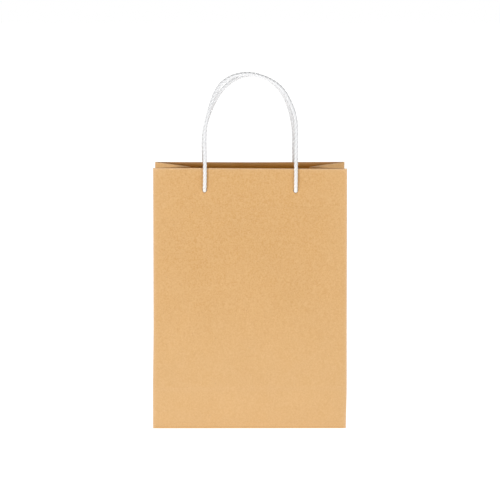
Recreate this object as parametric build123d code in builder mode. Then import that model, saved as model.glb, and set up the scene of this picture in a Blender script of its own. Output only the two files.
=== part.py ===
from build123d import *
import os
from math import acos, asin, cos, degrees, pi, radians, sin, sqrt, tan

# A kraft paper gift bag with folded-in sides and two rope handles, standing open.
# Millimetres. Origin: on the floor under the middle of the bag. +Z up, front faces -Y.

# ---- driving dimensions: the bag ----
width = 200.0                 # across the front panel
height = 270.0                # up the front panel, from bottom crease to rim
depth = 100.0                 # front to back at the bottom
mouth_gap = 64.0              # between the insides of the two panels at the rim
paper = 0.3                   # kraft paper thickness
hem_depth = 40.0              # paper turned over to the inside at the rim
card = 0.5                    # thickness of the stiffening card inside the turned-over hem
card_margin = 5.0             # the card stops this far above the hem's free edge
rim_dip = 2.0                 # the gussets' rim stands this much lower than the panels'
seam_width = 15.0             # glued side seam inside the back panel
flap_overlap = 15.0           # how far each bottom flap runs past the middle
dust_flap_depth = 52.0        # side flaps under the bottom board
board = 1.0                   # loose cardboard in the bottom

# ---- driving dimensions: handles ----
hole_spacing = 94.0           # between the two holes of one handle
hole_drop = 23.0              # hole centre below the rim
cord_diameter = 4.0
hole_clearance = 0.6          # hole diameter over the cord
cord_gap = 0.5                # between the cord's leg and the panel's face
knot_diameter = 9.0
tail_diameter = 3.4           # frayed tail of the cord below each knot
tail_length = 9.0
swing_gap = 0.5               # between a handle's leg and the ball it swings on

# ---- clearances at the creases ----
side_gap = 1.0                # gusset half, from the side crease that it folds on
centre_gap = 1.6              # gusset half, from the middle plane of the bag
diagonal_gap = 1.4            # gusset half, up from the diagonal crease
foot_gap = 1.2                # gusset foot, in from the diagonal creases
panel_lift = 0.3              # panel and foot, up from the bottom crease
hem_corner_gap = 6.0          # hem, card and seam, from a side crease
front_flap_inset = 0.5        # bottom flaps, from the front and back creases
side_flap_inset = 1.2         # bottom flaps, from the side creases
board_clearance = 2.2         # bottom board, from the walls all round
touch_gap = 0.1               # knots and gusset hems, off the paper that they rest on

# ---- worked out: the folded shape ----
half_width = width / 2 - paper
half_depth = depth / 2 - paper
lean = asin((half_depth - mouth_gap / 2) / height)
foot_lean = acos((1 - sin(lean)) / cos(lean))
foot_height = half_depth * cos(foot_lean)
rim_z = height * cos(lean)
hem_inside = card + paper
card_depth = hem_depth - card_margin
hole_up = height - hole_drop
cord_radius = cord_diameter / 2
cord_stand_off = paper + cord_gap + cord_radius

# Panels lean in over the bottom creases. Each plane has x across, y up the slope, z outwards.
front_plane = Plane(
    origin=(0, -half_depth, 0), x_dir=(1, 0, 0), z_dir=(0, -cos(lean), sin(lean))
)
back_plane = Plane(
    origin=(0, half_depth, 0), x_dir=(-1, 0, 0), z_dir=(0, cos(lean), sin(lean))
)
right_foot_plane = Plane(
    origin=(half_width, 0, 0), x_dir=(0, 1, 0), z_dir=(cos(foot_lean), 0, sin(foot_lean))
)
left_foot_plane = Plane(
    origin=(-half_width, 0, 0), x_dir=(0, -1, 0), z_dir=(-cos(foot_lean), 0, sin(foot_lean))
)

# Centre line of each handle, above the two holes: (across, up the panel, leaning in).
leg_start = cord_radius + swing_gap
front_handle_route = [
    (-47.0, leg_start, 0.0),
    (-46.8, 34.0, -0.2),
    (-47.0, 63.0, -1.8),
    (-41.5, 85.0, -1.2),
    (-33.5, 107.0, -0.2),
    (-19.0, 118.0, 0.5),
    (0.0, 121.0, 1.0),
    (18.5, 115.5, 0.8),
    (33.0, 106.0, 0.0),
    (42.3, 89.5, -0.9),
    (47.8, 72.0, -1.7),
    (47.2, 36.0, -0.2),
    (47.0, leg_start, 0.0),
]
back_handle_route = [
    (-47.0, leg_start, 0.0),
    (-48.9, 28.0, -0.2),
    (-49.2, 51.0, -1.6),
    (-43.5, 74.0, -1.5),
    (-32.5, 96.5, -0.5),
    (-18.0, 110.5, 0.5),
    (0.0, 117.0, 1.0),
    (17.5, 112.5, 0.8),
    (31.5, 101.5, 0.0),
    (40.5, 84.5, -1.0),
    (46.5, 60.0, -1.8),
    (46.6, 30.0, -0.2),
    (47.0, leg_start, 0.0),
]


def finish_part(part, name):
    part.label = name
    export_step(part, f"parts/{name}.step")


def panel_inside_y(z):
    """Half the bag's inside depth at a height."""
    return half_depth - z * tan(lean)


def fold_depth_x(z):
    """How far the centre crease of a gusset has come in at a height."""
    return sqrt(half_depth**2 - panel_inside_y(z) ** 2)


# ---- panels, hems and cards ----
def make_panel(plane, name):
    with BuildPart() as panel:
        with BuildSketch(plane):
            with Locations((0, (height + panel_lift) / 2)):
                Rectangle(width, height - panel_lift)
            with Locations((-hole_spacing / 2, hole_up), (hole_spacing / 2, hole_up)):
                Circle((cord_diameter + hole_clearance) / 2, mode=Mode.SUBTRACT)
        extrude(amount=paper)
    finish_part(panel.part, name)


def make_hem(plane, name):
    hem_width = 2 * (half_width - hem_corner_gap)
    with BuildPart() as hem:
        with BuildSketch(plane.offset(-hem_inside)):
            with Locations((0, height - hem_depth / 2)):
                Rectangle(hem_width, hem_depth)
            with Locations((-hole_spacing / 2, hole_up), (hole_spacing / 2, hole_up)):
                Circle((cord_diameter + hole_clearance) / 2, mode=Mode.SUBTRACT)
        extrude(amount=paper)
        with BuildSketch(plane):
            with Locations((0, height - paper / 2)):
                Rectangle(hem_width, paper)
        extrude(amount=-hem_inside)
    finish_part(hem.part, name)


def make_card(plane, name):
    with BuildPart() as stiffener:
        with BuildSketch(plane):
            with Locations((0, height - paper - card_depth / 2)):
                Rectangle(2 * (half_width - hem_corner_gap), card_depth)
            with Locations((-hole_spacing / 2, hole_up), (hole_spacing / 2, hole_up)):
                Circle((cord_diameter + hole_clearance) / 2, mode=Mode.SUBTRACT)
        extrude(amount=-card)
    finish_part(stiffener.part, name)


def make_knot(plane, across, name):
    """The cord's elbow in the hole, its knot inside and the tail below the knot."""
    knot_centre = -(hem_inside + touch_gap + knot_diameter / 2)
    hole_plane = Plane(
        origin=plane.from_local_coords(Vector(across, hole_up, 0)),
        x_dir=plane.x_dir,
        z_dir=plane.z_dir,
    )
    with BuildPart() as knot:
        with BuildSketch(hole_plane.offset(knot_centre)):
            Circle(cord_radius)
        extrude(amount=cord_stand_off - knot_centre)
        with Locations(hole_plane.offset(cord_stand_off)):
            Sphere(cord_radius)
        with Locations(hole_plane.offset(knot_centre)):
            Sphere(knot_diameter / 2)
        tail_plane = Plane(
            origin=hole_plane.offset(knot_centre).origin,
            x_dir=plane.x_dir,
            z_dir=-plane.y_dir,
        )
        with BuildSketch(tail_plane):
            Circle(tail_diameter / 2)
        extrude(amount=knot_diameter / 2 + tail_length)
    finish_part(knot.part, name)


# ---- gussets ----
def gusset_edges(z):
    """Inside line of a right front gusset half at a height, without its clearances."""
    near = Vector(half_width, -panel_inside_y(z), 0)
    risen = min((z - diagonal_gap) / foot_height, 1.0)
    if risen < 1.0:
        across = risen * half_depth
        far = Vector(half_width - across * sin(foot_lean), across - half_depth, 0)
    else:
        far = Vector(half_width - fold_depth_x(z), 0, 0)
    return near, far


def gusset_slice(z, start, stop_y, inner, outer):
    """Four corners of a gusset half's cut at a height, between two offsets from its inside."""
    near, far = gusset_edges(z)
    along = (far - near).normalized()
    outward = Vector(along.Y, -along.X, 0)
    first = near + along * start
    last = far
    if far.Y > stop_y:
        last = near + along * ((stop_y - near.Y) / along.Y)
    return [
        first + outward * inner,
        last + outward * inner,
        last + outward * outer,
        first + outward * outer,
    ]


def make_gusset_part(levels, side, face, start, stop_gap, inner, outer, name):
    """side is 1 on the right and -1 on the left, face is 1 at the front and -1 at the back."""
    with BuildPart() as half:
        for z in levels:
            corners = gusset_slice(z, start, -stop_gap, inner, outer)
            with BuildSketch(Plane.XY.offset(z)):
                with BuildLine():
                    Polyline([(side * c.X, face * c.Y) for c in corners], close=True)
                make_face()
        loft(ruled=True)
    finish_part(half.part, name)


def make_foot(plane, name):
    reach = half_depth - foot_gap
    with BuildPart() as foot:
        with BuildSketch(plane):
            with BuildLine():
                Polyline(
                    [
                        (-(reach - panel_lift), panel_lift),
                        (reach - panel_lift, panel_lift),
                        (0, reach),
                    ],
                    close=True,
                )
            make_face()
        extrude(amount=paper)
    finish_part(foot.part, name)


# ---- bottom ----
def make_flap(corners, layer, name):
    with BuildPart() as flap:
        with BuildSketch(Plane.XY.offset(layer * paper)):
            with BuildLine():
                Polyline(corners, close=True)
            make_face()
        extrude(amount=paper)
    finish_part(flap.part, name)


# ---- handles ----
def round_as_far_as_it_goes(points):
    """Arc radius at each corner of a route: 0.45 of the shorter run over tan(half the turn)."""
    radii = []
    for before, corner, after in zip(points, points[1:], points[2:]):
        half_turn = radians((corner - before).get_angle(after - corner)) / 2
        shorter = min((corner - before).length, (after - corner).length)
        radii.append(0.45 * shorter / tan(half_turn))
    return radii


def make_handle(plane, mirror_across, route, name):
    """A handle's cord, from just above one hole over to the other."""
    points = []
    for across, up, inward in route:
        local = Vector(mirror_across * across, hole_up + up, cord_stand_off - inward)
        points.append(plane.from_local_coords(local))
    radii = round_as_far_as_it_goes(points)
    with BuildPart() as handle:
        with BuildLine() as line:
            FilletPolyline(*points, radius=radii)
        path = line.wire()
        with BuildSketch(Plane(origin=path @ 0, z_dir=path % 0)):
            Circle(cord_radius)
        sweep()
    section_times_length = pi * cord_radius**2 * path.length
    print(name, "radii", [round(radius, 1) for radius in radii])
    print(name, "length", round(path.length, 1), "section x length", round(section_times_length))
    print(name, "volume", round(handle.part.volume), "valid", handle.part.is_valid)
    finish_part(handle.part, name)


os.makedirs("parts", exist_ok=True)
print("lean", round(degrees(lean), 3), "foot lean", round(degrees(foot_lean), 3))

for wall_plane, wall in ((front_plane, "front"), (back_plane, "back")):
    make_panel(wall_plane, f"{wall}_panel")
    make_hem(wall_plane, f"{wall}_top_hem")
    make_card(wall_plane, f"{wall}_hem_card")

make_knot(front_plane, -hole_spacing / 2, "front_left_knot")
make_knot(front_plane, hole_spacing / 2, "front_right_knot")
make_knot(back_plane, hole_spacing / 2, "back_left_knot")
make_knot(back_plane, -hole_spacing / 2, "back_right_knot")

make_handle(front_plane, 1, front_handle_route, "front_handle_cord")
make_handle(back_plane, -1, back_handle_route, "back_handle_cord")

# The side seam is glued inside the back panel, at its left edge, below the hem.
with BuildPart() as side_seam_flap:
    seam_top = height - hem_depth - touch_gap
    seam_bottom = paper * 3 + board + board_clearance
    with BuildSketch(back_plane):
        with Locations(
            (half_width - side_gap * 2 - seam_width / 2, (seam_top + seam_bottom) / 2)
        ):
            Rectangle(seam_width, seam_top - seam_bottom)
    extrude(amount=-paper)
finish_part(side_seam_flap.part, "side_seam_flap")

# A gusset half starts as a point between side crease and diagonal, and is full width above.
# Its top levels are its hem's too, so that the two lie face to face.
gusset_bottom = diagonal_gap + 1.5
gusset_full = diagonal_gap + foot_height * (1 - centre_gap / half_depth)
gusset_top = rim_z - rim_dip
hem_levels = [gusset_top - hem_depth, gusset_top - hem_depth / 2, gusset_top]
gusset_steps = 4
gusset_rise = (hem_levels[0] - gusset_full) / gusset_steps
gusset_levels = [gusset_bottom]
gusset_levels += [gusset_full + gusset_rise * step for step in range(gusset_steps)]
gusset_levels += hem_levels
hem_stop_gap = 3 * centre_gap

for side, side_name in ((1, "right"), (-1, "left")):
    for face, face_name in ((1, "front"), (-1, "back")):
        body = f"{side_name}_gusset_{face_name}"
        make_gusset_part(
            gusset_levels, side, face, side_gap, centre_gap, 0, paper, f"{body}_half"
        )
        make_gusset_part(
            hem_levels,
            side,
            face,
            hem_corner_gap,
            hem_stop_gap,
            -paper - touch_gap,
            -touch_gap,
            f"{body}_hem",
        )
make_foot(right_foot_plane, "right_gusset_foot")
make_foot(left_foot_plane, "left_gusset_foot")

# Bottom flaps, from the outside in: front, back, then the two side flaps, then the board.
flap_x = half_width - side_flap_inset
flap_y = half_depth - front_flap_inset
outer_flap = [
    (-flap_x, -flap_y),
    (flap_x, -flap_y),
    (flap_x - flap_overlap, flap_overlap),
    (flap_overlap - flap_x, flap_overlap),
]
make_flap(outer_flap, 0, "bottom_outer_flap")
make_flap([(x, -y) for x, y in outer_flap], 1, "bottom_inner_flap")
dust_flap = [
    (flap_x, -flap_y),
    (flap_x, flap_y),
    (flap_x - dust_flap_depth, flap_y - dust_flap_depth / 2),
    (flap_x - dust_flap_depth, dust_flap_depth / 2 - flap_y),
]
make_flap(dust_flap, 2, "right_dust_flap")
make_flap([(-x, y) for x, y in dust_flap], 2, "left_dust_flap")

with BuildPart() as bottom_board:
    with BuildSketch(Plane.XY.offset(3 * paper)):
        RectangleRounded(
            2 * (half_width - board_clearance),
            2 * (half_depth - board_clearance),
            board_clearance,
        )
    extrude(amount=board)
finish_part(bottom_board.part, "bottom_board")
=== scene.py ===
"""Looks of the kraft paper gift bag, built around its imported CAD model.

Shapes are worked out in millimetres, and new_mesh_object turns them into metres.
"""

import math
import random

import bmesh
import bpy
import numpy as np
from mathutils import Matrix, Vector


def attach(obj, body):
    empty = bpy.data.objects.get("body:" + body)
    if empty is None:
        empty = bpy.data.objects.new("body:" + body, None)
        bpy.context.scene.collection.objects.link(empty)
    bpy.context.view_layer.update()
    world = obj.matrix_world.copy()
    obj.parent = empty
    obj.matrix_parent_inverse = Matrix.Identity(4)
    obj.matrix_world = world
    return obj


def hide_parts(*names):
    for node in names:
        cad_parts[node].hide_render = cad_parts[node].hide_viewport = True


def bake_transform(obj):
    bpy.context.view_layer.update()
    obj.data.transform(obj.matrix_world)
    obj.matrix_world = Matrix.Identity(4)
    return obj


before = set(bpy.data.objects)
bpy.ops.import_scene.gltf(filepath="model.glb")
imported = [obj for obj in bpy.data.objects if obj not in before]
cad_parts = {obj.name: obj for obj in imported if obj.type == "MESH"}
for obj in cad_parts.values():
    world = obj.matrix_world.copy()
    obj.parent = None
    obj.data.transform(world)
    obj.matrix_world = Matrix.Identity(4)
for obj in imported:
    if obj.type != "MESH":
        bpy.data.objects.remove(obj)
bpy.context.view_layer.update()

# ---- the CAD model's dimensions, in millimetres ----
MM = 0.001
HALF_WIDTH = 99.7  # side creases, on the inside of the paper
HALF_DEPTH = 49.7  # front and back bottom creases
HEIGHT = 270.0  # up the slope of the front and back panels
HALF_MOUTH = 32.0
PAPER = 0.3
CARD = 0.5
HEM = 40.0
CARD_DEPTH = 35.0
RIM_DIP = 1.9  # the gussets' centre creases stop this far below the rim
HOLE_ACROSS = 47.0
HOLE_UP = 247.0
HOLE_RADIUS = 2.3
CORD_RADIUS = 2.0
CORD_OUT = 2.8  # the handles' hinge lines, out from the inside of the paper

LEAN = math.asin((HALF_DEPTH - HALF_MOUTH) / HEIGHT)
FOOT_LEAN = math.acos((1 - math.sin(LEAN)) / math.cos(LEAN))
FOOT_HEIGHT = HALF_DEPTH * math.cos(FOOT_LEAN)
RIM_Z = HEIGHT * math.cos(LEAN)
HEM_EDGE = HEIGHT - HEM

# ---- small departures from the drawing, for settled() ----
BASE_SPREAD = 0.005  # the share by which the base is wider
BASE_SHIFT = 0.35  # the base sits this far to the left
CORNER_PUSH = 0.8  # the base's right end is pushed in
RIM_SLOPE = 0.9  # the front rim's drop from left to right
RIM_LIFT = 0.3  # how far above its drawn height that drop starts
BACK_DIP = 0.35  # the middle of the back rim

rng = random.Random(7)


def smooth(t):
    t = np.clip(t, 0.0, 1.0)
    return t * t * (3 - 2 * t)


def wall_point(face, across, up, out):
    """Points on a wall: face is 1 at the front, -1 at the back; out is from the paper's inside."""
    across, up, out = np.broadcast_arrays(
        np.asarray(across, float), np.asarray(up, float), np.asarray(out, float)
    )
    y = -face * (HALF_DEPTH - up * math.sin(LEAN) + out * math.cos(LEAN))
    z = up * math.cos(LEAN) + out * math.sin(LEAN)
    return np.stack([across, y, z], -1)


# ---- camera: place in metres, angles in radians, lens in millimetres ----
CAMERA_AT = (-0.0133, -2.6187, 0.5369)
CAMERA_YAW = 0.0051  # to the right
CAMERA_PITCH = 0.1355  # down
CAMERA_LENS = 181.6

camera_data = bpy.data.cameras.new("camera")
camera_data.sensor_width = 36.0
camera_data.lens = CAMERA_LENS
camera_data.clip_end = 50.0
camera = bpy.data.objects.new("camera", camera_data)
camera.location = CAMERA_AT
camera.rotation_euler = (math.pi / 2 - CAMERA_PITCH, 0.0, -CAMERA_YAW)
bpy.context.scene.collection.objects.link(camera)
bpy.context.scene.camera = camera


# ---- materials ----
def smooth_ramp(tree, value, low, high, bottom, top):
    """A node that goes smoothly from bottom to top as the value goes from low to high."""
    node = tree.nodes.new("ShaderNodeMapRange")
    node.interpolation_type = "SMOOTHSTEP"
    numbers = {"From Min": low, "From Max": high, "To Min": bottom, "To Max": top}
    for name, number in numbers.items():
        node.inputs[name].default_value = number
    tree.links.new(value, node.inputs["Value"])
    return node


class Shader:
    """A node material and short ways to add to it."""

    def __init__(self, name):
        self.material = bpy.data.materials.new(name)
        self.material.use_nodes = True
        self.tree = self.material.node_tree
        self.bsdf = self.tree.nodes["Principled BSDF"]
        self.coords = self.tree.nodes.new("ShaderNodeTexCoord").outputs["Object"]

    def link(self, a, b):
        self.tree.links.new(a, b)

    def stretched(self, scale, turn=(0.0, 0.0, 0.0)):
        node = self.tree.nodes.new("ShaderNodeMapping")
        node.inputs["Scale"].default_value = scale
        node.inputs["Rotation"].default_value = turn
        self.link(self.coords, node.inputs["Vector"])
        return node.outputs["Vector"]

    def noise(self, scale, detail=3.0, rough=0.5, vector=None, distortion=0.0):
        node = self.tree.nodes.new("ShaderNodeTexNoise")
        node.inputs["Scale"].default_value = scale
        node.inputs["Detail"].default_value = detail
        node.inputs["Roughness"].default_value = rough
        node.inputs["Distortion"].default_value = distortion
        self.link(self.coords if vector is None else vector, node.inputs["Vector"])
        return node.outputs["Fac"]

    def ramp(self, value, low, high, bottom=0.0, top=1.0):
        return smooth_ramp(self.tree, value, low, high, bottom, top).outputs["Result"]

    def math(self, operation, a, b):
        node = self.tree.nodes.new("ShaderNodeMath")
        node.operation = operation
        for socket, value in zip(node.inputs, (a, b)):
            if isinstance(value, (int, float)):
                socket.default_value = value
            else:
                self.link(value, socket)
        return node.outputs["Value"]

    def mix(self, factor, a, b, blend="MIX"):
        node = self.tree.nodes.new("ShaderNodeMix")
        node.data_type = "RGBA"
        node.blend_type = blend
        for socket, value in ((node.inputs[0], factor), (node.inputs[6], a), (node.inputs[7], b)):
            if isinstance(value, (int, float)):
                socket.default_value = value
            elif isinstance(value, tuple):
                socket.default_value = (*value, 1.0)
            else:
                self.link(value, socket)
        return node.outputs[2]

    def place(self):
        """The X, Y and Z sockets of the place on the object, in metres."""
        node = self.tree.nodes.new("ShaderNodeSeparateXYZ")
        self.link(self.coords, node.inputs["Vector"])
        return node.outputs["X"], node.outputs["Y"], node.outputs["Z"]

    def attribute(self, name):
        node = self.tree.nodes.new("ShaderNodeAttribute")
        node.attribute_name = name
        return node.outputs["Fac"]

    def vector(self, x, y, z):
        node = self.tree.nodes.new("ShaderNodeCombineXYZ")
        for socket, value in zip(node.inputs, (x, y, z)):
            if isinstance(value, (int, float)):
                socket.default_value = value
            else:
                self.link(value, socket)
        return node.outputs["Vector"]

    def bump(self, height, distance, strength=1.0):
        node = self.tree.nodes.new("ShaderNodeBump")
        node.inputs["Distance"].default_value = distance
        node.inputs["Strength"].default_value = strength
        self.link(height, node.inputs["Height"])
        self.link(node.outputs["Normal"], self.bsdf.inputs["Normal"])

    def colour(self, socket):
        self.link(socket, self.bsdf.inputs["Base Color"])

    def roughness(self, socket):
        self.link(socket, self.bsdf.inputs["Roughness"])


def paper_fibres(shader):
    """Light and dark fibres: thin streaks in three directions."""
    streaks = []
    for turn, scale in ((0.25, 1150.0), (-0.8, 950.0), (1.3, 1050.0)):
        vector = shader.stretched((1.0, 1.0, 0.26), (turn * 0.4, turn, turn * 0.2))
        streaks.append(shader.noise(scale, 2.0, 0.55, vector, 0.4))
    return streaks


# colours are linear
KRAFT = (0.590, 0.330, 0.118)
KRAFT_DARK = (0.520, 0.265, 0.077)
KRAFT_PALE = (0.735, 0.487, 0.248)
KRAFT_WORN_AND_HIGHLIGHT = (0.725, 0.500, 0.310)
KRAFT_INSIDE_BOUNCE = (0.790, 0.350, 0.038)
FIBRE_BROWN = (0.50, 0.25, 0.08)
FIBRE_DARK = (0.42, 0.20, 0.07)
FLECK_BROWN = (0.36, 0.19, 0.08)
SPECK_DARK = (0.28, 0.13, 0.05)


def kraft_material():
    shader = Shader("kraft")
    cloud = shader.noise(16.0, 4.0, 0.6)
    mottle = shader.noise(140.0, 4.0, 0.62)
    grain = shader.noise(620.0, 4.0, 0.7)
    streaks = paper_fibres(shader)
    colour = shader.mix(shader.ramp(cloud, 0.3, 0.7, 0.0, 0.16), KRAFT, KRAFT_DARK)
    colour = shader.mix(shader.ramp(mottle, 0.32, 0.68, 0.0, 0.17), colour, KRAFT_DARK)
    colour = shader.mix(shader.ramp(grain, 0.30, 0.70, 0.0, 0.50), colour, KRAFT_PALE)
    colour = shader.mix(shader.ramp(streaks[0], 0.60, 0.74, 0.0, 0.34), colour, KRAFT_PALE)
    colour = shader.mix(shader.ramp(streaks[1], 0.60, 0.76, 0.0, 0.34), colour, FIBRE_BROWN)
    colour = shader.mix(shader.ramp(streaks[2], 0.66, 0.78, 0.0, 0.30), colour, FIBRE_DARK)
    speck = shader.ramp(shader.noise(1500.0, 1.0, 0.5), 0.74, 0.80, 0.0, 0.45)
    colour = shader.mix(speck, colour, SPECK_DARK)
    fleck = shader.ramp(shader.noise(430.0, 2.0, 0.5), 0.70, 0.78, 0.0, 0.42)
    colour = shader.mix(fleck, colour, FLECK_BROWN)
    # painted light and shade: paler low down, where the floor's light falls, and paler towards the
    # sides, leaving the middle in shade; a redder painted bounce tint inside the bag; a painted
    # contact shadow where it meets the table
    x, _, z = shader.place()
    low = shader.ramp(z, 0.02, 0.19, 0.30, 0.0)
    # painted light: paler towards the sides, so the middle of each wall reads darker, as in shade
    painted_paler_sides = shader.ramp(shader.math("ABSOLUTE", x, 0.0), 0.055, 0.1, 0.0, 0.10)
    colour = shader.mix(shader.math("MAXIMUM", low, painted_paler_sides), colour, KRAFT_PALE)
    # painted bounce light: faces inside the bag are mixed towards a redder, more saturated tone
    inside = shader.math("MULTIPLY", shader.attribute("inside"), 0.85)
    colour = shader.mix(inside, colour, KRAFT_INSIDE_BOUNCE)
    # painted contact shadow: darker over the lowest 2.4 mm, where the bag meets the table
    colour = shader.mix(shader.ramp(z, 0.0002, 0.0024, 0.6, 0.0), colour, KRAFT_DARK)
    # worn fibres, and painted highlights along the folds and the rim, mixed towards a paler, greyer
    # tone
    patchy = shader.ramp(mottle, 0.2, 0.7, 0.55, 1.0)
    wear_and_highlight = shader.math("MULTIPLY", shader.attribute("wear_and_highlight"), patchy)
    colour = shader.mix(wear_and_highlight, colour, KRAFT_WORN_AND_HIGHLIGHT)
    shader.colour(colour)
    shader.roughness(shader.ramp(shader.noise(60.0, 3.0, 0.6), 0.3, 0.7, 0.62, 0.8))
    shader.bsdf.inputs["Specular IOR Level"].default_value = 0.28
    shader.bsdf.inputs["Sheen Weight"].default_value = 0.12
    height = shader.math("ADD", grain, shader.math("MULTIPLY", streaks[0], 0.9))
    height = shader.math("ADD", height, shader.math("MULTIPLY", mottle, 1.1))
    shader.bump(height, 0.00012, 0.5)
    return shader.material


def card_material(name, base, dark, fleck):
    """Pressed card: a cloudy grey with short fibres."""
    shader = Shader(name)
    mottle = shader.noise(220.0, 4.0, 0.65)
    grain = shader.noise(1400.0, 2.0, 0.6)
    fibre_vector = shader.stretched((1.0, 0.2, 1.0), (0.2, 0.3, 0.1))
    streak = shader.noise(700.0, 2.0, 0.5, fibre_vector, 0.4)
    colour = shader.mix(shader.ramp(mottle, 0.3, 0.7, 0.0, 0.5), base, dark)
    colour = shader.mix(shader.ramp(streak, 0.6, 0.75, 0.0, 0.5), colour, fleck)
    colour = shader.mix(shader.ramp(grain, 0.68, 0.78, 0.0, 0.4), colour, fleck)
    shader.colour(colour)
    shader.roughness(shader.ramp(mottle, 0.3, 0.7, 0.8, 0.95))
    shader.bsdf.inputs["Specular IOR Level"].default_value = 0.2
    shader.bump(shader.math("ADD", mottle, grain), 0.00015, 0.6)
    return shader.material


CORD_WHITE = (0.83, 0.822, 0.808)
CORD_PATCH = (0.79, 0.784, 0.772)
CORD_FIBRE = (0.72, 0.717, 0.71)
CORD_GROOVE_SHADE = (0.66, 0.655, 0.655)
CORD_ABOVE_RIM_SHADE = (0.930, 0.943, 0.968)  # painted shade: greyer and cooler above the rim, away from the warm light that the paper bounces onto the rope


def cord_material():
    """Twisted paper rope: fine fibres run along each strand, and the grooves are darker with
    painted shade.
    """
    shader = Shader("white_cord")
    around = shader.attribute("around")
    along = shader.attribute("along")
    groove = shader.attribute("groove")
    across_strand = shader.math("MULTIPLY", around, 9.0)
    along_strand = shader.math("MULTIPLY", along, 0.12)
    fibre = shader.noise(1.0, 3.0, 0.6, shader.vector(across_strand, along_strand, 0.0), 0.2)
    fuzz = shader.noise(2500.0, 2.0, 0.6)
    patch = shader.noise(70.0, 2.0, 0.5)
    colour = shader.mix(shader.ramp(patch, 0.3, 0.7, 0.0, 0.25), CORD_WHITE, CORD_PATCH)
    colour = shader.mix(shader.ramp(fibre, 0.45, 0.7, 0.0, 0.3), colour, CORD_FIBRE)
    # painted shade: darker in the grooves between the strands
    colour = shader.mix(shader.ramp(groove, 0.0, 0.6, 0.4, 0.0), colour, CORD_GROOVE_SHADE)
    # painted shade on the rope above the rim
    above_rim_shade = shader.ramp(shader.place()[2], 0.262, 0.275)
    colour = shader.mix(above_rim_shade, colour, CORD_ABOVE_RIM_SHADE, "MULTIPLY")
    shader.colour(colour)
    shader.roughness(shader.ramp(fuzz, 0.3, 0.7, 0.65, 0.85))
    shader.bsdf.inputs["Specular IOR Level"].default_value = 0.3
    shader.bsdf.inputs["Sheen Weight"].default_value = 0.2
    height = shader.math("ADD", shader.math("MULTIPLY", fibre, 1.4), fuzz)
    shader.bump(height, 0.00008, 0.45)
    return shader.material


kraft = kraft_material()
cord_white = cord_material()
white_card = card_material(
    "stiffening_card", base=(0.70, 0.67, 0.60), dark=(0.60, 0.56, 0.49), fleck=(0.42, 0.38, 0.33)
)
grey_card = card_material(
    "grey_board", base=(0.40, 0.385, 0.36), dark=(0.30, 0.285, 0.265), fleck=(0.20, 0.19, 0.18)
)


# ---- mesh helpers ----
def settled(points):
    """The bag's small departures from its drawing.

    The glued base is a little wider and further left, its right end is pushed in, the front rim is
    lower at the right, and the middle of the back rim dips.
    """
    points = np.array(points, float)
    x, y, z = points.T
    near_rim = smooth((z - 140.0) / 100.0)
    front_drop = RIM_SLOPE * smooth((x + 110.0) / 220.0) - RIM_LIFT
    front_drop = front_drop * smooth((HALF_MOUTH - 2.0 - y) / (2 * HALF_MOUTH))
    back_dip = BACK_DIP * np.exp(-((x / 60.0) ** 2)) * smooth((y - 8.0) / 18.0)
    low = 1 - smooth((z - 35.0) / 75.0)
    pushed_in = CORNER_PUSH * smooth((x - 50.0) / 50.0) * (1 - smooth(z / 45.0))
    points[:, 0] = x * (1 + BASE_SPREAD * low) - BASE_SHIFT * low - pushed_in
    points[:, 2] = z - near_rim * (front_drop + back_dip)
    return points


def new_mesh_object(name, points, faces, smooth_faces, material, attributes=()):
    """A linked mesh object from points in millimetres, with values for its points."""
    mesh = bpy.data.meshes.new(name)
    mesh.from_pydata((settled(points) * MM).tolist(), [], faces)
    mesh.polygons.foreach_set("use_smooth", smooth_faces)
    for attribute_name, values in attributes:
        attribute = mesh.attributes.new(attribute_name, "FLOAT", "POINT")
        attribute.data.foreach_set("value", np.asarray(values, np.float32))
    mesh.materials.append(material)
    mesh.update()
    piece = bpy.data.objects.new(name, mesh)
    bpy.context.scene.collection.objects.link(piece)
    return piece


def fix_normals(piece):
    work = bmesh.new()
    work.from_mesh(piece.data)
    bmesh.ops.recalc_face_normals(work, faces=work.faces)
    work.to_mesh(piece.data)
    work.free()
    piece.data.update()


def make_sheet(name, outer, inner, material, wear_and_highlight, mask=None, outer_inside=0.0):
    """A closed sheet of paper from two grids of points. Cells outside the mask are left out.

    outer_inside says which of the outer grid's points face the inside of the bag; the inner grid's
    all do.
    """
    rows, cols = outer.shape[:2]
    if mask is None:
        mask = np.ones((rows - 1, cols - 1), bool)
    points = np.concatenate([outer.reshape(-1, 3), inner.reshape(-1, 3)])
    wear_and_highlights = np.concatenate([np.broadcast_to(wear_and_highlight, (rows, cols)).ravel()] * 2)
    insides = np.concatenate(
        [np.broadcast_to(v, (rows, cols)).ravel() for v in (outer_inside, 1.0)]
    )
    under = rows * cols
    faces, is_smooth = [], []
    open_edges = {}  # the outer grid's edges with one face so far, in the order they were met
    for i, j in zip(*np.nonzero(mask)):
        a = int(i * cols + j)
        corners = [a, a + 1, a + 1 + cols, a + cols]
        faces.append(corners)
        faces.append([under + c for c in reversed(corners)])
        is_smooth += [True, True]
        for p, q in zip(corners, corners[1:] + corners[:1]):
            if (q, p) in open_edges:
                del open_edges[(q, p)]
            else:
                open_edges[(p, q)] = True
    for p, q in open_edges:
        faces.append([q, p, under + p, under + q])
        is_smooth.append(False)
    used = sorted({c for face in faces for c in face})
    renumber = {old: new for new, old in enumerate(used)}
    faces = [[renumber[c] for c in face] for face in faces]
    values = [("wear_and_highlight", wear_and_highlights[used]), ("inside", insides[used])]
    piece = new_mesh_object(name, points[used], faces, is_smooth, material, values)
    fix_normals(piece)
    return piece


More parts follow.
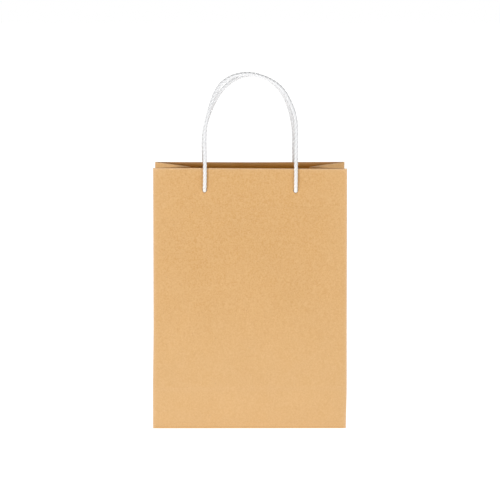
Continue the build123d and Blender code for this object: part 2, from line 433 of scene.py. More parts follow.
def spline_points(control, resolution, order=3):
    """Points along the NURBS line of a route."""
    curve = bpy.data.curves.new("route", "CURVE")
    curve.dimensions = "3D"
    spline = curve.splines.new("NURBS")
    spline.points.add(len(control) - 1)
    for point, place in zip(spline.points, control):
        point.co = (*[c * MM for c in place], 1.0)
    spline.order_u = order
    spline.use_endpoint_u = True
    spline.resolution_u = resolution
    holder = bpy.data.objects.new("route", curve)
    bpy.context.scene.collection.objects.link(holder)
    bpy.context.view_layer.update()
    line = bpy.data.meshes.new_from_object(holder)
    points = np.array([v.co for v in line.vertices], float) / MM
    bpy.data.objects.remove(holder)
    bpy.data.meshes.remove(line)
    bpy.data.curves.remove(curve)
    return points


def arc_lengths(points):
    """How far along a line each of its points is."""
    steps = np.linalg.norm(np.diff(points, axis=0), axis=1)
    return np.concatenate([[0.0], np.cumsum(steps)])


def evenly(points, step):
    """Points about a step apart on a line."""
    lengths = arc_lengths(points)
    count = max(2, int(round(lengths[-1] / step)) + 1)
    at = np.linspace(0.0, lengths[-1], count)
    return np.stack([np.interp(at, lengths, points[:, k]) for k in range(3)], -1)


def carried_frames(points):
    """Tangents and two carried normals along a line, without twist of their own."""
    tangents = np.gradient(points, axis=0)
    tangents /= np.linalg.norm(tangents, axis=1)[:, None]
    is_along_y = abs(tangents[0][1]) >= 0.9
    seed = np.array([1.0, 0.0, 0.0]) if is_along_y else np.array([0.0, 1.0, 0.0])
    normal = seed - tangents[0] * (seed @ tangents[0])
    normals = []
    for tangent in tangents:
        normal = normal - tangent * (normal @ tangent)
        normal = normal / np.linalg.norm(normal)
        normals.append(normal)
    normals = np.array(normals)
    return tangents, normals, np.cross(tangents, normals)


LOBE_OFFSET, LOBE_RADIUS = 0.30, 0.72  # a rope's strands, as shares of its radius


def rope_tube(
    line, radius, twist_length, start_turn, per_strand=11, strands=3, caps=(True, True), radii=None
):
    """Points, faces and strand attributes of a twisted rope along a line of even points.

    A capped end is rounded over one radius. radii gives a radius for each point of the line.
    """
    tangents, normals, sides = carried_frames(line)
    lengths = arc_lengths(line)
    total = lengths[-1]
    around = per_strand * strands
    angles = np.arange(around) * 2 * math.pi / around
    in_strand = (angles + math.pi / strands) % (2 * math.pi / strands) - math.pi / strands
    aside = LOBE_OFFSET * np.sin(in_strand)
    reach = LOBE_OFFSET * np.cos(in_strand) + np.sqrt(LOBE_RADIUS**2 - aside**2)
    strand_place = in_strand * strands / math.pi
    strand_place = strand_place + 3.0 * np.floor(angles * strands / (2 * math.pi))
    groove = (reach - reach.min()) / (reach.max() - reach.min())
    points, along_values, around_values, groove_values = [], [], [], []
    for k, s in enumerate(lengths):
        scale = radius if radii is None else radii[k]
        for is_capped, distance in ((caps[0], s), (caps[1], total - s)):
            if is_capped and distance < radius:
                scale *= math.sqrt(max(0.03, 1 - (1 - distance / radius) ** 2))
        turned = angles + start_turn + 2 * math.pi * s / twist_length
        ring = (
            line[k]
            + np.outer(np.cos(turned) * reach * scale, normals[k])
            + np.outer(np.sin(turned) * reach * scale, sides[k])
        )
        points.append(ring)
        along_values.append(np.full(around, s))
        around_values.append(strand_place)
        groove_values.append(groove)
    faces = []
    for k in range(len(lengths) - 1):
        for m in range(around):
            n = (m + 1) % around
            a, b = k * around, (k + 1) * around
            faces.append([a + m, a + n, b + n, b + m])
    faces.append(list(range(around))[::-1])
    faces.append([(len(lengths) - 1) * around + m for m in range(around)])
    return (
        np.concatenate(points),
        faces,
        np.concatenate(along_values),
        np.concatenate(around_values),
        np.concatenate(groove_values),
    )


def make_rope(name, tubes, material):
    """One object from several rope tubes."""
    points, faces, attributes, smooth_faces = [], [], [[], [], []], []
    start = 0
    for tube_points, tube_faces, *values in tubes:
        points.append(tube_points)
        faces += [[start + c for c in face] for face in tube_faces]
        smooth_faces += [len(face) == 4 for face in tube_faces]
        for store, value in zip(attributes, values):
            store.append(value)
        start += len(tube_points)
    named = [(n, np.concatenate(v)) for n, v in zip(("along", "around", "groove"), attributes)]
    piece = new_mesh_object(name, np.concatenate(points), faces, smooth_faces, material, named)
    fix_normals(piece)
    return piece


# ---- handles ----
# The routes' points are those of the CAD model, across, up from the holes and in from the hinge
# line, with the ends on the hinge line and points 6 mm above it, where the legs come straight up.
# The front loop's left leg is moved in by 0.3 mm.
ROPE_RADIUS = 1.97
TWIST_LENGTH = 13.0
FRONT_ROUTE = [
    (-47.0, 0.0, 0.0),
    (-46.6, 6.0, 0.0),
    (-46.5, 34.0, -0.2),
    (-47.0, 63.0, -1.8),
    (-41.5, 85.0, -1.2),
    (-33.5, 107.0, -0.2),
    (-19.0, 118.0, 0.5),
    (0.0, 121.0, 1.0),
    (18.5, 115.5, 0.8),
    (33.0, 106.0, 0.0),
    (42.3, 89.5, -0.9),
    (47.8, 72.0, -1.7),
    (47.2, 36.0, -0.2),
    (47.2, 6.0, 0.0),
    (47.0, 0.0, 0.0),
]
BACK_ROUTE = [
    (-47.0, 0.0, 0.0),
    (-47.6, 6.0, 0.0),
    (-48.9, 28.0, -0.2),
    (-49.2, 51.0, -1.6),
    (-43.5, 74.0, -1.5),
    (-32.5, 96.5, -0.5),
    (-18.0, 110.5, 0.5),
    (0.0, 117.0, 1.0),
    (17.5, 112.5, 0.8),
    (31.5, 101.5, 0.0),
    (40.5, 84.5, -1.0),
    (46.5, 60.0, -1.8),
    (46.6, 30.0, -0.2),
    (46.9, 6.0, 0.0),
    (47.0, 0.0, 0.0),
]

for face, wall, route, length in (
    (1, "front", FRONT_ROUTE, 0.287),
    (-1, "back", BACK_ROUTE, 0.274),
):
    control = [wall_point(face, a, HOLE_UP + up, CORD_OUT - inward) for a, up, inward in route]
    line = evenly(spline_points(control, 40), 0.7)
    handle = make_rope(
        f"{wall}_handle", [rope_tube(line, ROPE_RADIUS, TWIST_LENGTH, 0.4 * face)], cord_white
    )
    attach(handle, f"{wall}_handle")
    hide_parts(f"{wall}_handle_cord")
    tuple(settled(line)[0] * MM)
    (settled(line) * MM).tolist()


# ---- knots: the rope goes through its hole, is knotted inside and ends in a frayed tail ----
KNOT_ROPE_RADIUS = 1.5  # pulled tight
TAIL_RADIUS = 1.55
KNOT_CLEAR = 0.15  # between the knot and the hem
KNOT_SPREAD, KNOT_DEPTH = 1.02, 1.55  # of the overhand knot's line
KNOT_STEPS = 17
KNOT_FROM, KNOT_SPAN = 0.55, 2 * math.pi - 0.95  # the part of the closed knot that the rope follows
TAIL_FIBRES = 26


def make_tail_fibres(end, tangent):
    """Thin fibres that fray out of the rope's cut end."""
    aside = np.cross(tangent, [0.0, 1.0, 0.0])
    aside /= np.linalg.norm(aside)
    outward = np.cross(tangent, aside)
    tubes = []
    for _ in range(TAIL_FIBRES):
        angle, start = rng.uniform(0, 2 * math.pi), 1.25 * math.sqrt(rng.random())
        away = aside * math.cos(angle) + outward * math.sin(angle)
        reach, flare = rng.uniform(3.0, 5.6), rng.uniform(0.1, 0.75)
        curl = rng.uniform(-0.5, 0.5)
        sideways = np.cross(tangent, away) * curl
        control = [
            end - tangent * 0.8 + away * start * 0.8,
            end + tangent * reach * 0.35 + away * start,
            end + tangent * reach * 0.75 + away * (start + flare) + sideways,
            end + tangent * reach + away * (start + flare * 2.1) + sideways * 2,
        ]
        fibre = evenly(spline_points(control, 5), 0.55)
        thin = np.linspace(0.26, 0.10, len(fibre))
        tubes.append(rope_tube(fibre, 0.24, 5.0, angle, 4, 2, (False, False), thin))
    return tubes


def make_knot(face, across, name, turn):
    """The end of a rope, from its hinge line through the hole to an overhand knot and a tail."""

    def place(x, up, out):
        return wall_point(face, across + x, HOLE_UP + up, out)

    control = [place(0, 0, out) for out in (CORD_OUT, CORD_OUT - 1.4, 0.4, -1.3)]
    middle = -(CARD + PAPER) - KNOT_CLEAR - KNOT_ROPE_RADIUS - 1.5
    for k in range(KNOT_STEPS):
        t = KNOT_FROM + KNOT_SPAN * k / (KNOT_STEPS - 1)
        x = math.sin(t) + 2 * math.sin(2 * t)
        up = math.cos(t) - 2 * math.cos(2 * t)
        turned_x = x * math.cos(turn) - up * math.sin(turn)
        turned_up = x * math.sin(turn) + up * math.cos(turn)
        out = middle + KNOT_DEPTH * math.sin(3 * t)
        control.append(place(turned_x * KNOT_SPREAD, turned_up * KNOT_SPREAD, out))
    control += [
        place(-0.6, -3.6, middle - 0.4),
        place(-0.4, -6.4, middle + 0.2),
        place(0.3 * turn, -9.2, middle + 0.5),
        place(0.5 * turn, -11.6, middle + 0.3),
    ]
    line = evenly(spline_points(control, 14, 4), 0.45)
    lengths = arc_lengths(line)
    radii = np.interp(
        lengths,
        [0.0, 3.2, 5.5, lengths[-1]],
        [CORD_RADIUS, CORD_RADIUS, KNOT_ROPE_RADIUS, TAIL_RADIUS],
    )
    tubes = [rope_tube(line, CORD_RADIUS, 8.0, 0.3, 9, 3, (True, False), radii)]
    tangent = line[-1] - line[-4]
    tangent /= np.linalg.norm(tangent)
    tubes += make_tail_fibres(line[-1], tangent)
    knot = make_rope(f"{name}_rope", tubes, cord_white)
    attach(knot, "front_wall" if face == 1 else "back_wall")
    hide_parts(name)


make_knot(1, -HOLE_ACROSS, "front_left_knot", 0.3)
make_knot(1, HOLE_ACROSS, "front_right_knot", -0.5)
make_knot(-1, -HOLE_ACROSS, "back_left_knot", 0.8)
make_knot(-1, HOLE_ACROSS, "back_right_knot", -0.2)


# ---- front and back walls ----
BOW = {1: 1.15, -1: 0.8}  # how far the front and back walls belly out
SHOULDER = 0.24  # a wall stands this far out beside its rounded side creases
# half waves per millimetre across and up, and size
RIPPLES = ((0.021, 0.013, 0.22), (-0.034, 0.027, 0.13), (0.055, -0.041, 0.07))
SWELL_UP, SWELL_SLANT = 41.5, 0.006  # a faint swell left from when the bag was folded flat
HEM_IMPRINT = 0.06  # the hem's edge shows through
CURL = 0.3  # inner radius of the bottom creases


def curl_rows(thickness):
    """Rows round a bottom crease: up and out of the outer face, then of the inner face."""
    radius = CURL + thickness
    return [
        (
            2 * CURL - radius * math.sin(angle),
            -CURL + radius * math.cos(angle),
            2 * CURL - CURL * math.sin(angle),
            -CURL + CURL * math.cos(angle),
        )
        for angle in np.radians([90, 68, 45, 22])
    ]


def rim_rows(rim, layer, degrees):
    """Angles and rows, as those above, where the paper turns over a layer at the rim."""
    middle = (PAPER + layer) / 2  # radius of the middle of the paper
    centre = PAPER / 2 - middle
    radius_o, radius_i = middle + PAPER / 2, np.maximum(middle - PAPER / 2, 0.02)
    top = rim - radius_o
    for angle in np.radians(degrees):
        yield angle, (
            top + radius_o * math.sin(angle),
            centre + radius_o * math.cos(angle),
            top + radius_i * math.sin(angle),
            centre + radius_i * math.cos(angle),
        )


def wall_relief(face, across, up):
    """How far a wall stands out of its plane."""
    across, up = np.broadcast_arrays(np.asarray(across, float), np.asarray(up, float))
    from_side = np.clip(HALF_WIDTH - np.abs(across), 0.0, None)
    shoulder = SHOULDER * (1 - np.exp(-from_side / 1.5)) * smooth(from_side / 0.8)
    body = smooth(up / 45.0) * (1 - smooth((up - 150.0) / 95.0))
    middle = np.cos(np.clip(across / HALF_WIDTH, -1, 1) * math.pi / 2)
    ripple = 0.0
    for k, (per_across, per_up, size) in enumerate(RIPPLES):
        phase = 2 * math.pi * (per_across * across + per_up * up) * 0.5
        ripple = ripple + size * np.sin(phase + 1.7 * k + 0.9 * face)
    ripple = ripple * smooth(from_side / 14.0) * smooth(up / 25.0)
    ripple = ripple * (1 - 0.75 * smooth((up - 215.0) / 20.0))
    from_swell = up - SWELL_UP - SWELL_SLANT * across
    swell = 0.14 * np.exp(-((from_swell / 16.0) ** 2)) - 0.03 * np.exp(-((from_swell / 2.2) ** 2))
    swell = swell * smooth(from_side / 3.0) * smooth(up / 12.0)
    imprint = HEM_IMPRINT * smooth((up - HEM_EDGE + 0.6) / 1.2) * smooth(from_side / 5.0)
    return shoulder + BOW[face] * body * middle + ripple + swell - imprint


def wall_wear_and_highlight(across, up):
    """Paler along the side creases, the rim and the swell: worn fibres, and a painted highlight on
    the rounded side creases and the rim.
    """
    from_side = np.clip(HALF_WIDTH - np.abs(across), 0.0, None)
    from_swell = up - SWELL_UP - SWELL_SLANT * across
    wear_and_highlight = 0.7 * np.exp(-from_side / 1.3) + 0.06 * np.exp(-((from_swell / 2.5) ** 2))
    # painted highlight along the rounded fold at the rim
    wear_and_highlight = wear_and_highlight + 0.85 * np.exp(-np.clip(HEIGHT - up, 0, None) / 1.0)
    return np.clip(wear_and_highlight, 0.0, 0.85)


def wall_columns():
    """For each column of a wall: outer face across, its stand-off, and inner face across."""
    flat = [0, *np.arange(2.25, 94.0, 2.25), 94.6, 95.8, 96.6, 97.2, 97.8, 98.4]
    half = [(x, PAPER, x) for x in flat]
    half += [(99.1, 0.3, 98.7), (99.7, 0.3, 99.1)]  # then round the side crease
    half += [(99.86, 0.25, 99.35), (99.96, 0.14, 99.55), (100.0, 0.0, 99.7)]
    columns = [(-x_outer, out, -x_inner) for x_outer, out, x_inner in reversed(half[1:])] + half
    return np.array(columns).T


def wall_rows(face, x_outer, o_outer, hem_here):
    """The rows of a wall sheet: up and out of its outer face, up and out of its inner face, is_hem.

    They go from the bottom crease up to the rim, over it and down the hem inside.
    """
    rows = []

    def add_row(up_outer, out_outer, up_inner, out_inner, is_hem):
        values = (up_outer, out_outer, up_inner, out_inner)
        row = [np.broadcast_to(np.asarray(v, float), x_outer.shape) for v in values]
        rows.append((*row, is_hem))

    for row in curl_rows(o_outer):
        add_row(*row, False)
    ups = [0.6, 1.4, 2.6, 4.2, 6.2, 8.6, *np.arange(11.0, 37.0, 2.4)]
    ups += [*np.arange(37.8, 45.6, 0.6), *np.arange(47.0, 227.0, 2.5)]  # closer over the swell
    ups += [228.2, 229.2, 229.8, 230.4, 231.2, 232.6]  # and at the hem's edge
    ups += [*np.arange(235.0, 266.0, 2.5), 267.4, 268.4]
    for up in ups:
        add_row(up, o_outer, up, 0.0, False)

    # the rim: the paper turns over the card, which thins out towards the sides
    from_crease = HALF_WIDTH - np.abs(x_outer)
    layer = np.interp(from_crease, [2.6, 6.0, 8.0], [0.04, CARD * 0.9, CARD])
    degrees = [0, 15, 30, 50, 70, 90, 110, 130, 150, 165, 180]
    for angle, (up_o, out_o, up_i, out_i) in rim_rows(HEIGHT, layer, degrees):
        if angle <= math.pi / 2 + 1e-6:  # beside the hem the paper just ends
            plain_up = 269.1 + 0.9 * angle / (math.pi / 2)
            up_o = np.where(hem_here, up_o, plain_up)
            up_i = np.where(hem_here, up_i, plain_up)
            out_o = np.where(hem_here, out_o, o_outer)
            out_i = np.where(hem_here, out_i, 0.0)
        add_row(up_o, out_o, up_i, out_i, angle >= math.pi / 2 - 1e-6)

    # the hem: past the card it lies on the wall, and its cut edge isn't quite straight
    hem_from = 268.6
    hem_end = HEM_EDGE + 0.25 * np.sin(x_outer * 0.045 + face) + 0.12 * np.sin(x_outer * 0.21)
    for part in [*np.linspace(0.0, 0.93, 13)[1:], 0.955, 0.975, 0.99, 1.0]:
        up = hem_from + (hem_end - hem_from) * part
        pressed = layer * (1 - smooth((part - 0.86) / 0.1)) + 0.02
        add_row(up, -pressed - PAPER, up, -pressed, True)
    return rows


def make_wall(face, wall):
    """A wall and its hem as one closed sheet of paper, with its holes."""
    x_outer, o_outer, x_inner = wall_columns()
    hem_here = np.abs(x_outer) < 97.0
    rows = wall_rows(face, x_outer, o_outer, hem_here)
    up_o, out_o, up_i, out_i = (np.array([row[k] for row in rows]) for k in range(4))
    is_hem = np.array([row[4] for row in rows])
    relief = wall_relief(face, x_outer[None, :], np.minimum(up_o, HEIGHT))
    outer = wall_point(face, np.broadcast_to(x_outer, up_o.shape), up_o, out_o + relief)
    inner = wall_point(face, np.broadcast_to(x_inner, up_o.shape), up_i, out_i + relief)
    mask = ~(is_hem[:-1, None] & (~hem_here[:-1] | ~hem_here[1:])[None, :])
    wear_and_highlight = wall_wear_and_highlight(x_outer[None, :], up_o)
    flat_hem_rows = np.arange(len(rows)) > len(rows) - 17
    wear_and_highlight = np.where(flat_hem_rows[:, None] & (up_o < 268), 0.0, wear_and_highlight)
    wear_and_highlight[-1:] = 0.4
    name = f"{wall}_panel_and_hem"
    sheet = make_sheet(name, outer, inner, kraft, wear_and_highlight, mask, np.where(is_hem, 1.0, 0.0)[:, None])
    punch_holes(face, sheet)
    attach(sheet, f"{wall}_wall")
    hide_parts(f"{wall}_panel", f"{wall}_top_hem")


def punch_holes(face, piece):
    """Cuts the two rope holes through all the layers of a piece."""
    sides, half_length = 40, 3.0
    angles = np.arange(sides) * 2 * math.pi / sides
    for across in (-HOLE_ACROSS, HOLE_ACROSS):
        rings = [
            wall_point(
                face,
                across + HOLE_RADIUS * np.cos(angles),
                HOLE_UP + HOLE_RADIUS * np.sin(angles),
                np.full(sides, out),
            )
            for out in (-half_length, half_length)
        ]
        faces = [[m, (m + 1) % sides, sides + (m + 1) % sides, sides + m] for m in range(sides)]
        faces += [list(range(sides))[::-1], [sides + m for m in range(sides)]]
        is_smooth = [False] * len(faces)
        cutter = new_mesh_object("cutter", np.concatenate(rings), faces, is_smooth, kraft)
        fix_normals(cutter)
        cut = piece.modifiers.new("hole", "BOOLEAN")
        cut.operation = "DIFFERENCE"
        cut.solver = "EXACT"
        cut.object = cutter
        bpy.context.view_layer.update()
        graph = bpy.context.evaluated_depsgraph_get()
        holed = bpy.data.meshes.new_from_object(piece.evaluated_get(graph))
        piece.modifiers.clear()
        piece.data = holed
        bpy.data.objects.remove(cutter)


for face, wall in ((1, "front"), (-1, "back")):
    make_wall(face, wall)

    # the card inside the hem follows the wall's relief
    across = np.linspace(-93.4, 93.4, 84)
    ups = np.linspace(HEIGHT - 0.75 - CARD_DEPTH, HEIGHT - 0.75, 24)
    grid_x, grid_up = np.meshgrid(across, ups)
    relief = wall_relief(face, grid_x, grid_up)
    stiffener = make_sheet(
        f"{wall}_card",
        wall_point(face, grid_x, grid_up, relief - 0.03),
        wall_point(face, grid_x, grid_up, relief - CARD + 0.05),
        white_card,
        0.0,
    )
    punch_holes(face, stiffener)
    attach(stiffener, f"{wall}_wall")
    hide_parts(f"{wall}_hem_card")

# the glued side seam, inside the back wall at its left edge; its free edge is slightly ragged
SEAM_EDGE, SEAM_GLUED = 82.5, 84.6
seam_x = -np.array([97.5, 96.8, 95.4, 93.0, 90.6, 88.0, 85.6, 84.0, 83.0, SEAM_EDGE])
seam_up = np.concatenate([[3.6, 4.4], np.arange(7.0, 227.0, 4.0), [228.6, 229.5]])
grid_x, grid_up = np.meshgrid(seam_x, seam_up)
is_free = smooth((np.abs(grid_x) - SEAM_GLUED) / -2.0)
lifted = 0.10 * is_free * (0.5 + 0.5 * np.sin(grid_up * 0.11))
ragged = 0.12 * np.sin(grid_up * 0.35) * is_free
relief = wall_relief(-1, grid_x, grid_up)
seam = make_sheet(
    "side_seam",
    wall_point(-1, grid_x + ragged, grid_up, relief - 0.02 - lifted),
    wall_point(-1, grid_x + ragged, grid_up, relief - 0.02 - PAPER - lifted),
    kraft,
    0.35 * np.exp(-(np.abs(grid_x) - SEAM_EDGE) / 0.5),
)
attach(seam, "back_wall")
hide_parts("side_seam_flap")


# ---- gussets ----
GUSSET_ROUNDING = 0.5  # of the centre crease
GUSSET_BOW = 0.75  # how far a half bellies inwards
GUSSET_LAYER = 0.05  # between a half and its hem
HEM_FROM = 0.055  # the hem starts at this part of a half's width

# Beyond a crease between two bodies one sheet goes on a little behind the other, so that the
# crease stays closed when the two move apart.
LIP_LOW, LIP_HIGH = FOOT_HEIGHT + 0.3, 268.5
LIP_STEPS = np.array([0.0, 1.2, 2.5, 3.8])
LIP_TURN = math.radians(65.0)
FOOT_LIP_STEPS = np.array([0.03, 0.4, 0.7, 1.0])  # shares of the foot's lip
FOOT_LIP = 3.0
FOOT_LIP_BEHIND = -0.36


def wall_inside_y(z):
    return HALF_DEPTH - z * math.tan(LEAN)


def crease_in_x(z):
    """How far a gusset's centre crease has come in at a height, joined to the top of the foot."""
    fold = np.sqrt(np.maximum(HALF_DEPTH**2 - wall_inside_y(z) ** 2, 0.0))
    at_foot = HALF_DEPTH * math.sin(FOOT_LEAN)
    at_foot -= math.sqrt(HALF_DEPTH**2 - wall_inside_y(FOOT_HEIGHT) ** 2)
    return fold + at_foot * np.exp(-np.maximum(z - FOOT_HEIGHT, 0.0) / 18.0)


def gusset_surface(z, part, out):
    """The right front gusset half, at a part of its width from the side crease to the far crease.

    Gives x, y, the normal's x and y, how far the surface stands out along it, and the width.
    """
    risen = z / FOOT_HEIGHT
    is_low = risen < 1.0
    near_y = -wall_inside_y(z)
    in_x = np.where(is_low, risen * HALF_DEPTH * math.sin(FOOT_LEAN), crease_in_x(z))
    far_x = HALF_WIDTH - in_x
    far_y = np.where(is_low, risen * HALF_DEPTH - HALF_DEPTH, 0.0)
    span = far_y - near_y
    slope = (HALF_WIDTH - far_x) / span
    rounding = GUSSET_ROUNDING * smooth((z - FOOT_HEIGHT) / 7.0) + 1e-4
    away = span * (1 - part)  # in y, from the far crease
    root = np.sqrt(away**2 + rounding**2)
    lean_x = slope * away / root
    size = np.sqrt(1 + lean_x**2)
    width = span * np.sqrt(1 + slope**2)
    across = np.sin(math.pi * np.clip(part, 0, 1))
    bow = -GUSSET_BOW * across**1.3 * smooth((z - 20) / 70.0)
    bow = bow * (1 - 0.55 * smooth((z - 190) / 80.0))
    bow = bow + 0.22 * np.sin(z * 0.052 + part * 3.0) * across * smooth(z / 60.0)
    bow = bow * np.minimum(width / HALF_DEPTH, 1.0)
    return far_x + slope * root, far_y - away, 1 / size, lean_x / size, bow + out, width


def lip_points(tip, z):
    """A back half's lip, from its centre crease on behind the front half."""
    inward = 0.36 + 0.38 * smooth((z - 226.0) / 3.0)  # more where the hem lies
    steps = LIP_STEPS * (0.2 + 0.8 * smooth((z - FOOT_HEIGHT) / 8.0))
    return np.stack(
        [
            tip[0] - inward + steps * math.cos(LIP_TURN),
            tip[1] + 0.05 + steps * math.sin(LIP_TURN),
            np.full(len(steps), tip[2]),
        ],
        -1,
    )


def gusset_rows():
    """A half's rows: height and stand-off of its outer face, the same of its inner face, is_hem."""
    heights = [0.7, 1.3, 2.2, 3.4, 5.0, 7.0, 9.2, *np.arange(11.6, 46.0, 2.4)]
    heights += [FOOT_HEIGHT, *np.arange(48.4, 227.0, 2.6)]
    heights += [227.9, 228.9, 229.6, 230.4, 231.6, 233.4]  # at the hem's edge
    heights += [*np.arange(236.0, 266.0, 2.6), 267.2, 268.3]
    rows = [(z, PAPER, z, 0.0, False) for z in heights]
    degrees = [0, 22, 45, 68, 90, 112, 135, 158, 180]
    for angle, row in rim_rows(RIM_Z, GUSSET_LAYER, degrees):
        rows.append((*row, angle >= math.pi / 2 - 1e-6))
    top = rows[-1][0]
    for step in np.linspace(0.0, 1.0, 17)[1:]:
        z = top + (RIM_Z - HEM - top) * step
        rows.append((z, -GUSSET_LAYER - PAPER, z, -GUSSET_LAYER, True))
    return rows


def round_side_crease(points, z_here, normal, width, is_inner):
    """Bends the first three columns of a row round the side crease."""
    reach = min(1.0, float(np.min(width)) / 3.0)
    tangent = np.array([-normal[1], normal[0]])
    axis = np.array([HALF_WIDTH, -wall_inside_y(z_here)])
    turn = math.atan2(normal[1], normal[0])
    for column, share in enumerate((1.0, 0.5, 0.0)):
        if is_inner:
            flat = axis + tangent * (0.02 + 0.38 * (1 - share)) * reach
        else:
            angle = turn * share
            flat = axis + PAPER * (normal * math.cos(angle) - tangent * math.sin(angle))
            if share == 0.0:
                flat = flat + tangent * 0.25 * reach
        points[column, :2] = flat


def make_gusset(side, face, name, body):
    """A gusset half and its hem as one closed sheet."""
    parts = [0.0, 0.004, 0.008, 0.022, 0.04, 0.062, *np.linspace(0.09, 0.955, 34)]
    parts = np.array([*parts, 0.97, 0.98, 0.988, 0.994, 1.0])
    rows = gusset_rows()
    outer, inner, wear_and_highlight = [], [], []
    for z_o, out_o, z_i, out_i, is_hem in rows:
        for store, z, out in ((outer, z_o, out_o), (inner, z_i, out_i)):
            dip = smooth((z - 150.0) / (RIM_Z - 150.0)) * RIM_DIP
            z_here = z - dip * parts
            x, y, nx, ny, stand, width = gusset_surface(z_here, parts, out)
            points = np.stack([x + nx * stand, y + ny * stand, z_here], -1)
            if not is_hem:
                normal = np.array([nx[0], ny[0]])
                round_side_crease(points, z_here[0], normal, width, store is inner)
            if face == -1:
                points = np.concatenate([points, lip_points(points[-1], z)])
            store.append(points)
        tip = outer[-1][len(parts) - 1]
        length = math.hypot(HALF_WIDTH - tip[0], tip[1] + wall_inside_y(z_o))
        # worn fibres, and a painted highlight along both creases and the rim
        row_wear_and_highlight = 0.65 * np.exp(-parts * length / 0.6)
        row_wear_and_highlight = row_wear_and_highlight + 0.6 * np.exp(-(1 - parts) * length / 0.6)
        row_wear_and_highlight = row_wear_and_highlight + 0.6 * math.exp(-max(RIM_Z - z_o, 0.0) / 0.45)
        row_wear_and_highlight = np.clip(row_wear_and_highlight, 0, 0.8)
        if is_hem and z_o <= RIM_Z - 1.0:
            row_wear_and_highlight = row_wear_and_highlight * 0.0
        wear_and_highlight.append(np.concatenate([row_wear_and_highlight, np.zeros(len(outer[-1]) - len(parts))]))
    flip = np.array([side, face, 1.0])
    outer, inner, wear_and_highlight = np.array(outer) * flip, np.array(inner) * flip, np.array(wear_and_highlight)
    in_hem = np.array([row[4] for row in rows])
    lips = outer.shape[1] - len(parts)
    is_lip = np.arange(outer.shape[1]) >= len(parts)
    hem_here = np.concatenate([parts > HEM_FROM, np.zeros(lips, bool)])
    mask = ~(in_hem[:-1, None] & (~hem_here[:-1] | ~hem_here[1:])[None, :])
    lip_rows = np.array([not row[4] and LIP_LOW < row[0] < LIP_HIGH for row in rows])
    mask &= ~is_lip[1:][None, :] | (lip_rows[:-1] & lip_rows[1:])[:, None]
    piece = make_sheet(name, outer, inner, kraft, wear_and_highlight, mask, np.where(in_hem, 1.0, 0.0)[:, None])
    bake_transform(piece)
    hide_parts(f"{body}_half", f"{body}_hem")


def make_foot(side, side_name):
    """The triangle between the bottom crease and the two diagonal creases."""
    ups = [0.6, 1.3, 2.2, 3.4, 5.0, *np.arange(7.0, 47.0, 2.0), 47.6, 48.6, 49.2, 49.5]
    rows = curl_rows(PAPER) + [(up, PAPER, up, 0.0) for up in ups]
    parts = np.array([-1.0, -0.985, -0.96, *np.linspace(-0.92, 0.92, 41), 0.96, 0.985, 1.0])
    lips = len(FOOT_LIP_STEPS)
    outer, inner, wear_and_highlight = [], [], []
    for up_o, out_o, up_i, out_i in rows:
        half = HALF_DEPTH - max(up_o, 0.6)
        risen = min(max(up_o, 0.0) / HALF_DEPTH, 1.0)
        bulge = 1.12 * np.cos(parts * math.pi / 2) * math.sin(math.pi * risen) ** 0.8
        bulge = bulge * half / HALF_DEPTH
        lip = FOOT_LIP_STEPS * min(FOOT_LIP, 0.55 * max(up_o, 0.6))
        across = np.concatenate([-half - lip[::-1], parts * half, half + lip])
        behind = np.full(lips, FOOT_LIP_BEHIND)
        stand = np.concatenate([behind, bulge, behind])
        for store, up, out in ((outer, up_o, out_o), (inner, up_i, out_i)):
            x = HALF_WIDTH - up * math.sin(FOOT_LEAN) + (out + stand) * math.cos(FOOT_LEAN)
            z = up * math.cos(FOOT_LEAN) + (out + stand) * math.sin(FOOT_LEAN)
            store.append(np.stack([side * x, across, np.maximum(z, 0.0)], -1))
        # paler along the creases: worn fibres and a painted highlight
        row_wear_and_highlight = np.clip(0.6 * np.exp(-(1 - np.abs(parts)) * half / 0.9), 0, 0.8)
        wear_and_highlight.append(np.concatenate([np.zeros(lips), row_wear_and_highlight, np.zeros(lips)]))
    is_lip = np.concatenate([np.ones(lips, bool), np.zeros(len(parts), bool), np.ones(lips, bool)])
    lip_rows = np.array([row[0] > 3.0 for row in rows])
    mask = ~(is_lip[:-1] | is_lip[1:])[None, :] | (lip_rows[:-1] & lip_rows[1:])[:, None]
    name = f"{side_name}_foot_paper"
    piece = make_sheet(name, np.array(outer), np.array(inner), kraft, np.array(wear_and_highlight), mask)
    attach(piece, f"{side_name}_foot")
    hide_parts(f"{side_name}_gusset_foot")


for side, side_name in ((1, "right"), (-1, "left")):
    for face, face_name in ((1, "front"), (-1, "back")):
        body = f"{side_name}_gusset_{face_name}"
        make_gusset(side, face, f"{body}_paper", body)
    make_foot(side, side_name)


# ---- bottom: front flap, back flap over it, then the two side flaps ----
def make_flap(name, node, near, far, half_near, half_far, height, goes_along_x):
    """A flap from its crease, at near, to its free edge, at far.

    height gives how high its underside is, from 0 at the crease to 1 at the free edge.
    """
    along = [0.0, 0.006, 0.014, 0.026, 0.04, 0.06, *np.linspace(0.09, 0.97, 26), 0.985, 0.995, 1.0]
    far_part, across = np.meshgrid(along, np.linspace(-1.0, 1.0, 61), indexing="ij")
    reach = near + (far - near) * far_part
    aside = (half_near + (half_far - half_near) * far_part) * across
    x, y = (reach, aside) if goes_along_x else (aside, reach)
    z = height(far_part) + 0 * x
    lower = np.stack([x, y, z], -1)
    upper = np.stack([x, y, z + PAPER], -1)
    # paler along the crease and the free edge: worn fibres and a painted highlight
    wear_and_highlight = 0.5 * np.exp(-far_part * 30) + 0.3 * (far_part > 0.99)
    piece = make_sheet(name, lower, upper, kraft, wear_and_highlight)
    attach(piece, "base")
    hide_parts(node)


def lies_flat(part):
    return 0.0


def climbs_front_flap(part):
    return PAPER * smooth((part - 0.50) / 0.035)


def climbs_both_flaps(part):
    return (2 * PAPER + 0.01) * smooth(part / 0.05)


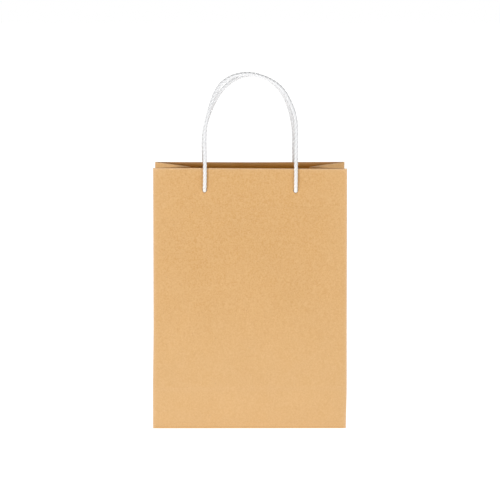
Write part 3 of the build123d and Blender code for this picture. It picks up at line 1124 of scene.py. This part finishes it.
FLAP_NEAR_Y, FLAP_FAR_Y = 49.35, 15.0
make_flap(
    "front_bottom_flap", "bottom_outer_flap", -FLAP_NEAR_Y, FLAP_FAR_Y, 98.6, 83.5, lies_flat, False
)
make_flap(
    "back_bottom_flap",
    "bottom_inner_flap",
    FLAP_NEAR_Y,
    -FLAP_FAR_Y,
    98.6,
    83.5,
    climbs_front_flap,
    False,
)
for side, side_name in ((1, "right"), (-1, "left")):
    make_flap(
        f"{side_name}_bottom_flap",
        f"{side_name}_dust_flap",
        side * 99.3,
        side * 46.5,
        48.6,
        23.2,
        climbs_both_flaps,
        True,
    )

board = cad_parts["bottom_board"]
if not board.material_slots:
    board.data.materials.append(grey_card)
for board_slot in board.material_slots:
    board_slot.material = grey_card


# ---- floor, walls and lights of the studio ----
FLOOR_HALF = 9  # in metres
floor_mesh = bpy.data.meshes.new("floor")
floor_signs = ((-1, -1), (1, -1), (1, 1), (-1, 1))
floor_corners = [(x * FLOOR_HALF, y * FLOOR_HALF, 0) for x, y in floor_signs]
floor_mesh.from_pydata(floor_corners, [], [(0, 1, 2, 3)])
floor = bpy.data.objects.new("floor", floor_mesh)
floor.location.z = -0.0002  # just below the bag's underside
bpy.context.scene.collection.objects.link(floor)
floor_shader = Shader("pale_floor")
floor_clouds = floor_shader.ramp(floor_shader.noise(3.0), 0.3, 0.7)
floor_shader.colour(floor_shader.mix(floor_clouds, (0.52, 0.52, 0.52), (0.48, 0.48, 0.48)))
floor_shader.bsdf.inputs["Roughness"].default_value = 0.9
floor_shader.bsdf.inputs["Specular IOR Level"].default_value = 0.0
floor_shader.bsdf.inputs["Emission Color"].default_value = (1.0, 1.0, 1.0, 1.0)
floor_shader.bsdf.inputs["Emission Strength"].default_value = 0.93
floor_mesh.materials.append(floor_shader.material)

world = bpy.data.worlds.new("studio")
bpy.context.scene.world = world
world.use_nodes = True
# white walls all round up to WALL_TOP, and from CEILING_FROM on a ceiling that is dim in front and
# brighter behind; both are heights on the unit sphere
WALL_TOP, CEILING_FROM = 0.11, 0.24
CEILING_FRONT, CEILING_BACK = 0.17, 0.8
sky = world.node_tree
sky_place = sky.nodes.new("ShaderNodeSeparateXYZ")
sky_coords = sky.nodes.new("ShaderNodeTexCoord").outputs["Generated"]
sky.links.new(sky_coords, sky_place.inputs["Vector"])
ceiling = smooth_ramp(sky, sky_place.outputs["Y"], -0.1, 0.6, CEILING_FRONT, CEILING_BACK)
sky_fade = smooth_ramp(sky, sky_place.outputs["Z"], WALL_TOP, CEILING_FROM, 1.0, 1.0)
sky.links.new(ceiling.outputs["Result"], sky_fade.inputs["To Max"])
sky.nodes["Background"].inputs["Color"].default_value = (1.0, 1.0, 1.0, 1.0)
sky.links.new(sky_fade.outputs["Result"], sky.nodes["Background"].inputs["Strength"])

# two low softboxes, in front of the bag at its left and right; places in metres, power in watts
SOFTBOX_ASIDE, SOFTBOX_Y, SOFTBOX_Z = 1.45, -2.43, 0.29
SOFTBOX_SIZE = 0.56
SOFTBOX_TARGET = (0.0, 0.0, 0.17)

for name, side, power in (("left_softbox", -1, 28.5), ("right_softbox", 1, 14.5)):
    softbox = bpy.data.lights.new(name, "AREA")
    softbox.shape = "DISK"
    softbox.size = SOFTBOX_SIZE
    softbox.energy = power
    lamp = bpy.data.objects.new(name, softbox)
    lamp.location = (side * SOFTBOX_ASIDE, SOFTBOX_Y, SOFTBOX_Z)
    aim = Vector(SOFTBOX_TARGET) - lamp.location
    lamp.rotation_euler = aim.to_track_quat("-Z", "Y").to_euler()
    bpy.context.scene.collection.objects.link(lamp)

scene = bpy.context.scene
scene.view_settings.view_transform = "Standard"
scene.view_settings.look = "None"
